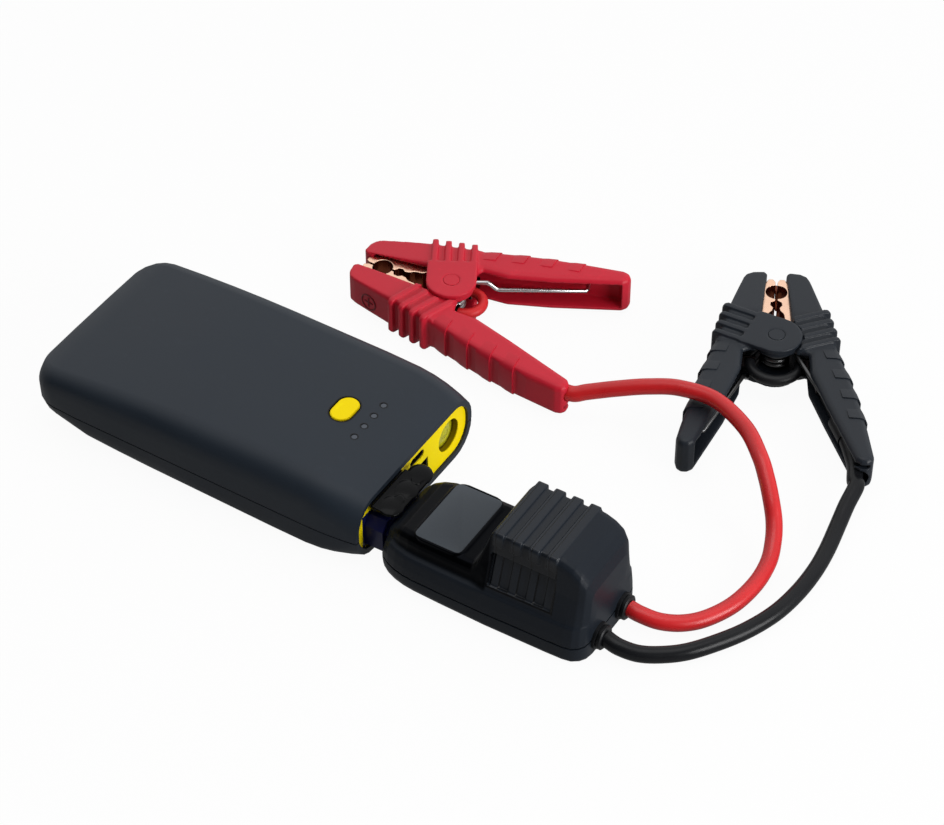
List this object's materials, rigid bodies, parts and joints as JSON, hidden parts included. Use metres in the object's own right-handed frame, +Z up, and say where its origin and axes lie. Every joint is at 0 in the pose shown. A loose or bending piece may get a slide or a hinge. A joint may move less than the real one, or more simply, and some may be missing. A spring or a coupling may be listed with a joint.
{
  "type": "jump starter pack",
  "caption": "Pocket jump starter: a rounded dark pack with a yellow end panel, a control module plugged into it, and a red and a black battery clamp on cables.",
  "frame": {"origin": "middle of the pack's underside, on the surface that everything lies on", "axes": "+X from the pack's closed end towards its yellow end panel and the module; +Z up; +Y towards the clamps"},
  "size_m": [0.2952, 0.217, 0.043],
  "materials": {
    "charcoal_shell": "fine matt texture",
    "charcoal_clamp": "satin",
    "yellow_trim": "satin",
    "navy_plug": "satin",
    "black_rubber": "matt",
    "black_plastic": "satin",
    "grey_window": "polished",
    "light_lens": "clear",
    "led_cap": "frosted",
    "reflector_metal": "mirror",
    "port_metal": "bright",
    "screw_steel": "plated",
    "spring_steel": "bright",
    "contact_brass": "plain",
    "contact_copper": "bright copper",
    "cell_foil": "foil",
    "foam": "foam",
    "board": "solder mask",
    "red_clamp_plastic": "satin",
    "red_silicone": "satin",
    "black_silicone": "satin"
  },
  "bodies": {
    "pack": {"pack_lower_shell": "charcoal_shell", "pack_upper_shell": "charcoal_shell", "end_panel": "yellow_trim", "pack_screws": "screw_steel", "battery_cells": "cell_foil", "cell_pads": "foam", "bus_bars": "contact_copper", "main_board": "board", "button_board": "board", "button_switch": "black_plastic", "charge_leds": "led_cap", "torch_reflector": "reflector_metal", "torch_lens": "light_lens", "torch_led": "light_lens", "usb_c_socket": "port_metal", "usb_a_socket": "port_metal", "jump_socket": "navy_plug", "jump_socket_pins": "contact_brass", "flap_anchor": "black_rubber"},
    "button": {"power_button": "yellow_trim"},
    "flap": {"socket_flap": "black_rubber"},
    "lead_set": {"module_lower_housing": "charcoal_shell", "module_upper_housing": "charcoal_shell", "display_window": "grey_window", "display_board": "board", "module_board": "board", "relays": "black_plastic", "module_screws": "screw_steel", "jump_plug": "navy_plug", "jump_plug_sleeves": "contact_brass", "red_gland": "black_plastic", "black_gland": "black_plastic", "red_cable": "red_silicone", "black_cable": "black_silicone", "red_cable_handle": "red_clamp_plastic", "red_cable_jaw": "contact_copper", "red_pivot_pin": "red_clamp_plastic", "red_spring": "spring_steel", "red_bridge_wire": "red_silicone", "red_cable_lug": "contact_copper", "black_cable_handle": "charcoal_clamp", "black_cable_jaw": "contact_copper", "black_pivot_pin": "charcoal_clamp", "black_spring": "spring_steel", "black_bridge_wire": "black_silicone", "black_cable_lug": "contact_copper"},
    "red_free_half": {"red_free_handle": "red_clamp_plastic", "red_free_jaw": "contact_copper"},
    "black_free_half": {"black_free_handle": "charcoal_clamp", "black_free_jaw": "contact_copper"}
  },
  "joints": [
    {"name": "button_press", "type": "slide", "parent": "pack", "child": "button", "axis": [0, 0, -1], "range_m": [0, 0.0006], "stiffness_N_per_m": 400, "springref_m": -0.001},
    {"name": "flap_fold", "type": "hinge", "parent": "pack", "child": "flap", "pos_m": [0.0752, -0.0193, 0.023], "axis": [0, -1, 0], "range_deg": [0, 60]},
    {"name": "lead_plug", "type": "slide", "parent": "pack", "child": "lead_set", "axis": [1, 0, 0], "range_m": [0, 0.03]},
    {"name": "red_clamp_pivot", "type": "hinge", "parent": "lead_set", "child": "red_free_half", "pos_m": [0.0295, 0.0964, 0.0095], "axis": [0, 0, -1], "range_deg": [0, 24], "stiffness_Nm_per_rad": 0.4, "springref_deg": -28.65, "deforming": ["red_spring", "red_bridge_wire"]},
    {"name": "black_clamp_pivot", "type": "hinge", "parent": "lead_set", "child": "black_free_half", "pos_m": [0.1538, 0.135, 0.0095], "axis": [0, 0, 1], "range_deg": [0, 24], "stiffness_Nm_per_rad": 0.4, "springref_deg": -28.65, "deforming": ["black_spring", "black_bridge_wire"]}
  ]
}
